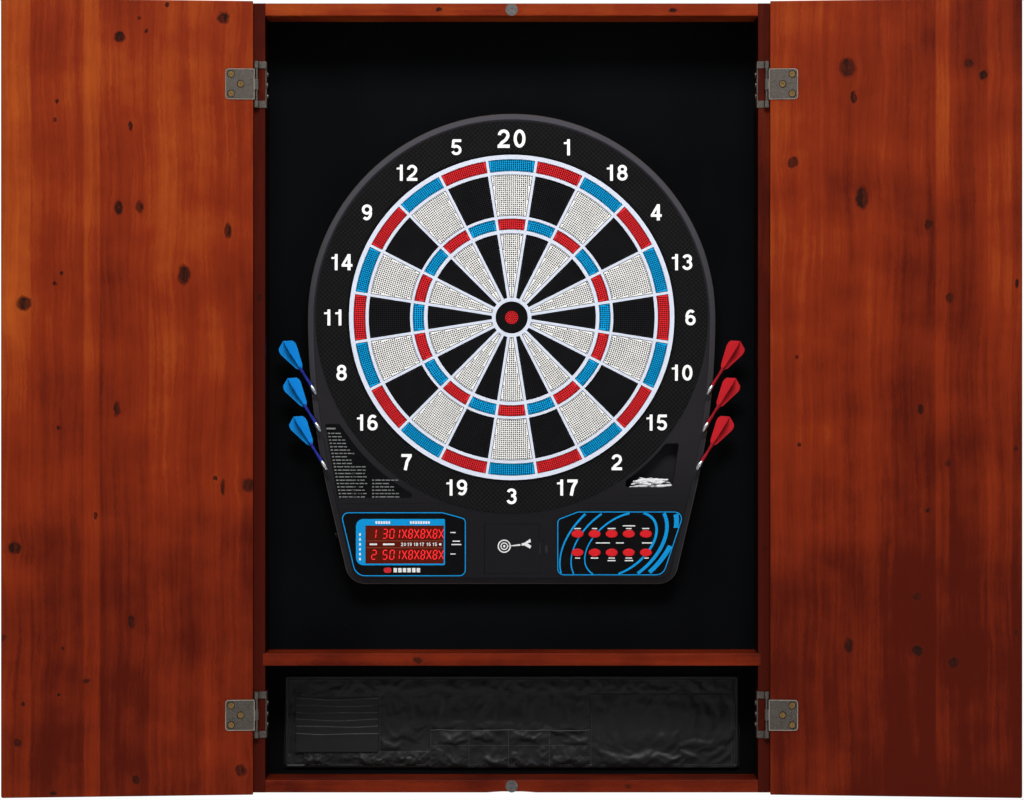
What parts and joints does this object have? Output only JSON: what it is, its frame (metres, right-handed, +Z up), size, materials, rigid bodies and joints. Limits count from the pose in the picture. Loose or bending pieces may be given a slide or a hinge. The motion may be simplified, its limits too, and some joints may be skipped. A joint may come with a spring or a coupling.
{
  "type": "dart board cabinet",
  "caption": "Wall-hung pine cabinet with two hinged doors, an electronic soft-tip dart board, stored darts, a shelf and a fabric organizer.",
  "frame": {"origin": "centre of the cabinet's back at the wall: the middle of the centre cleat's rear face", "axes": "+X to the right seen from the front, +Y into the wall, +Z up; the doors stand open in the rest pose"},
  "size_m": [1.2162, 0.1658, 0.951],
  "materials": {
    "stained_pine": "satin lacquer",
    "black_hardboard": "matt",
    "raw_pine": "unfinished",
    "zinc_screw": "zinc plated",
    "antique_hinge": "antique nickel",
    "brass_screw": "antiqued",
    "catch_metal": "dull",
    "charcoal_plastic": "fine texture",
    "black_plastic": "satin",
    "white_plastic": "satin",
    "red_plastic": "satin",
    "blue_plastic": "satin",
    "membrane_rubber": "matt",
    "circuit_green": "solder mask",
    "display_module": "matt",
    "red_window": "clear tint",
    "black_label": "printed film",
    "red_rubber": "gloss",
    "blue_dart": "gloss",
    "red_dart": "gloss",
    "tip_nylon": "satin",
    "black_nylon": "woven"
  },
  "bodies": {
    "cabinet": {"side_panel_left": "stained_pine", "side_panel_right": "stained_pine", "top_panel": "stained_pine", "bottom_panel": "stained_pine", "shelf": "stained_pine", "back_panel": "black_hardboard", "hanging_cleats": "raw_pine", "case_dowels": "raw_pine", "back_panel_screws": "zinc_screw", "board_fixing_screws": "zinc_screw", "housing_screws": "zinc_screw", "hinge_frame_leaves_left": "antique_hinge", "hinge_frame_leaves_right": "antique_hinge", "hinge_pins": "antique_hinge", "frame_hinge_screws": "brass_screw", "door_catches": "catch_metal", "front_housing": "charcoal_plastic", "rear_cover": "charcoal_plastic", "number_ring": "black_plastic", "spider": "white_plastic", "sensor_membrane": "membrane_rubber", "circuit_boards": "circuit_green", "score_display": "display_module", "display_window": "red_window", "games_label": "black_label", "display_label": "black_label", "control_label": "black_label", "power_inlet": "black_plastic", "spare_tips": "tip_nylon", "organizer": "black_nylon"},
    "left_door": {"door_left": "stained_pine", "hinge_door_leaves_left": "antique_hinge", "door_hinge_screws_left": "brass_screw"},
    "right_door": {"door_right": "stained_pine", "hinge_door_leaves_right": "antique_hinge", "door_hinge_screws_right": "brass_screw"},
    "white_target": {"white_segments": "white_plastic"},
    "black_target": {"black_segments": "black_plastic"},
    "red_target": {"red_segments": "red_plastic"},
    "blue_target": {"blue_segments": "blue_plastic"},
    "outer_bull": {"bull_outer": "black_plastic"},
    "inner_bull": {"bull_inner": "red_plastic"},
    "lid": {"storage_lid": "charcoal_plastic"},
    "upper_key_1": {"button_upper_1": "red_rubber"},
    "upper_key_2": {"button_upper_2": "red_rubber"},
    "upper_key_3": {"button_upper_3": "red_rubber"},
    "upper_key_4": {"button_upper_4": "red_rubber"},
    "upper_key_5": {"button_upper_5": "red_rubber"},
    "lower_key_1": {"button_lower_1": "red_rubber"},
    "lower_key_2": {"button_lower_2": "red_rubber"},
    "lower_key_3": {"button_lower_3": "red_rubber"},
    "lower_key_4": {"button_lower_4": "red_rubber"},
    "lower_key_5": {"button_lower_5": "red_rubber"},
    "left_dart_top": {"dart_left_top": "blue_dart"},
    "left_dart_middle": {"dart_left_middle": "blue_dart"},
    "left_dart_bottom": {"dart_left_bottom": "blue_dart"},
    "right_dart_top": {"dart_right_top": "red_dart"},
    "right_dart_middle": {"dart_right_middle": "red_dart"},
    "right_dart_bottom": {"dart_right_bottom": "red_dart"}
  },
  "joints": [
    {"name": "door_left_swing", "type": "hinge", "parent": "cabinet", "child": "left_door", "pos_m": [-0.306, -0.115, 0], "axis": [0, 0, 1], "range_deg": [-4, 171]},
    {"name": "door_right_swing", "type": "hinge", "parent": "cabinet", "child": "right_door", "pos_m": [0.306, -0.115, 0], "axis": [0, 0, 1], "range_deg": [-171, 4]},
    {"name": "white_segments_press", "type": "slide", "parent": "cabinet", "child": "white_target", "axis": [0, 1, 0], "range_m": [0, 0.001], "stiffness_N_per_m": 400},
    {"name": "black_segments_press", "type": "slide", "parent": "cabinet", "child": "black_target", "axis": [0, 1, 0], "range_m": [0, 0.001], "stiffness_N_per_m": 400},
    {"name": "red_segments_press", "type": "slide", "parent": "cabinet", "child": "red_target", "axis": [0, 1, 0], "range_m": [0, 0.001], "stiffness_N_per_m": 400},
    {"name": "blue_segments_press", "type": "slide", "parent": "cabinet", "child": "blue_target", "axis": [0, 1, 0], "range_m": [0, 0.001], "stiffness_N_per_m": 400},
    {"name": "bull_outer_press", "type": "slide", "parent": "cabinet", "child": "outer_bull", "axis": [0, 1, 0], "range_m": [0, 0.001], "stiffness_N_per_m": 400},
    {"name": "bull_inner_press", "type": "slide", "parent": "cabinet", "child": "inner_bull", "axis": [0, 1, 0], "range_m": [0, 0.001], "stiffness_N_per_m": 400},
    {"name": "storage_lid_swing", "type": "hinge", "parent": "cabinet", "child": "lid", "pos_m": [-0.03215, -0.0568, -0.1825], "axis": [0, 0, 1], "range_deg": [-95, 0]},
    {"name": "button_upper_1_press", "type": "slide", "parent": "cabinet", "child": "upper_key_1", "axis": [0, 1, 0], "range_m": [0, 0.0012], "stiffness_N_per_m": 300},
    {"name": "button_upper_2_press", "type": "slide", "parent": "cabinet", "child": "upper_key_2", "axis": [0, 1, 0], "range_m": [0, 0.0012], "stiffness_N_per_m": 300},
    {"name": "button_upper_3_press", "type": "slide", "parent": "cabinet", "child": "upper_key_3", "axis": [0, 1, 0], "range_m": [0, 0.0012], "stiffness_N_per_m": 300},
    {"name": "button_upper_4_press", "type": "slide", "parent": "cabinet", "child": "upper_key_4", "axis": [0, 1, 0], "range_m": [0, 0.0012], "stiffness_N_per_m": 300},
    {"name": "button_upper_5_press", "type": "slide", "parent": "cabinet", "child": "upper_key_5", "axis": [0, 1, 0], "range_m": [0, 0.0012], "stiffness_N_per_m": 300},
    {"name": "button_lower_1_press", "type": "slide", "parent": "cabinet", "child": "lower_key_1", "axis": [0, 1, 0], "range_m": [0, 0.0012], "stiffness_N_per_m": 300},
    {"name": "button_lower_2_press", "type": "slide", "parent": "cabinet", "child": "lower_key_2", "axis": [0, 1, 0], "range_m": [0, 0.0012], "stiffness_N_per_m": 300},
    {"name": "button_lower_3_press", "type": "slide", "parent": "cabinet", "child": "lower_key_3", "axis": [0, 1, 0], "range_m": [0, 0.0012], "stiffness_N_per_m": 300},
    {"name": "button_lower_4_press", "type": "slide", "parent": "cabinet", "child": "lower_key_4", "axis": [0, 1, 0], "range_m": [0, 0.0012], "stiffness_N_per_m": 300},
    {"name": "button_lower_5_press", "type": "slide", "parent": "cabinet", "child": "lower_key_5", "axis": [0, 1, 0], "range_m": [0, 0.0012], "stiffness_N_per_m": 300},
    {"name": "dart_left_top_draw", "type": "slide", "parent": "cabinet", "child": "left_dart_top", "axis": [-0.5296, -0.0349, 0.8475], "range_m": [0, 0.024]},
    {"name": "dart_left_middle_draw", "type": "slide", "parent": "cabinet", "child": "left_dart_middle", "axis": [-0.5296, -0.0349, 0.8475], "range_m": [0, 0.024]},
    {"name": "dart_left_bottom_draw", "type": "slide", "parent": "cabinet", "child": "left_dart_bottom", "axis": [-0.5296, -0.0349, 0.8475], "range_m": [0, 0.024]},
    {"name": "dart_right_top_draw", "type": "slide", "parent": "cabinet", "child": "right_dart_top", "axis": [0.5296, -0.0349, 0.8475], "range_m": [0, 0.024]},
    {"name": "dart_right_middle_draw", "type": "slide", "parent": "cabinet", "child": "right_dart_middle", "axis": [0.5296, -0.0349, 0.8475], "range_m": [0, 0.024]},
    {"name": "dart_right_bottom_draw", "type": "slide", "parent": "cabinet", "child": "right_dart_bottom", "axis": [0.5296, -0.0349, 0.8475], "range_m": [0, 0.024]}
  ]
}
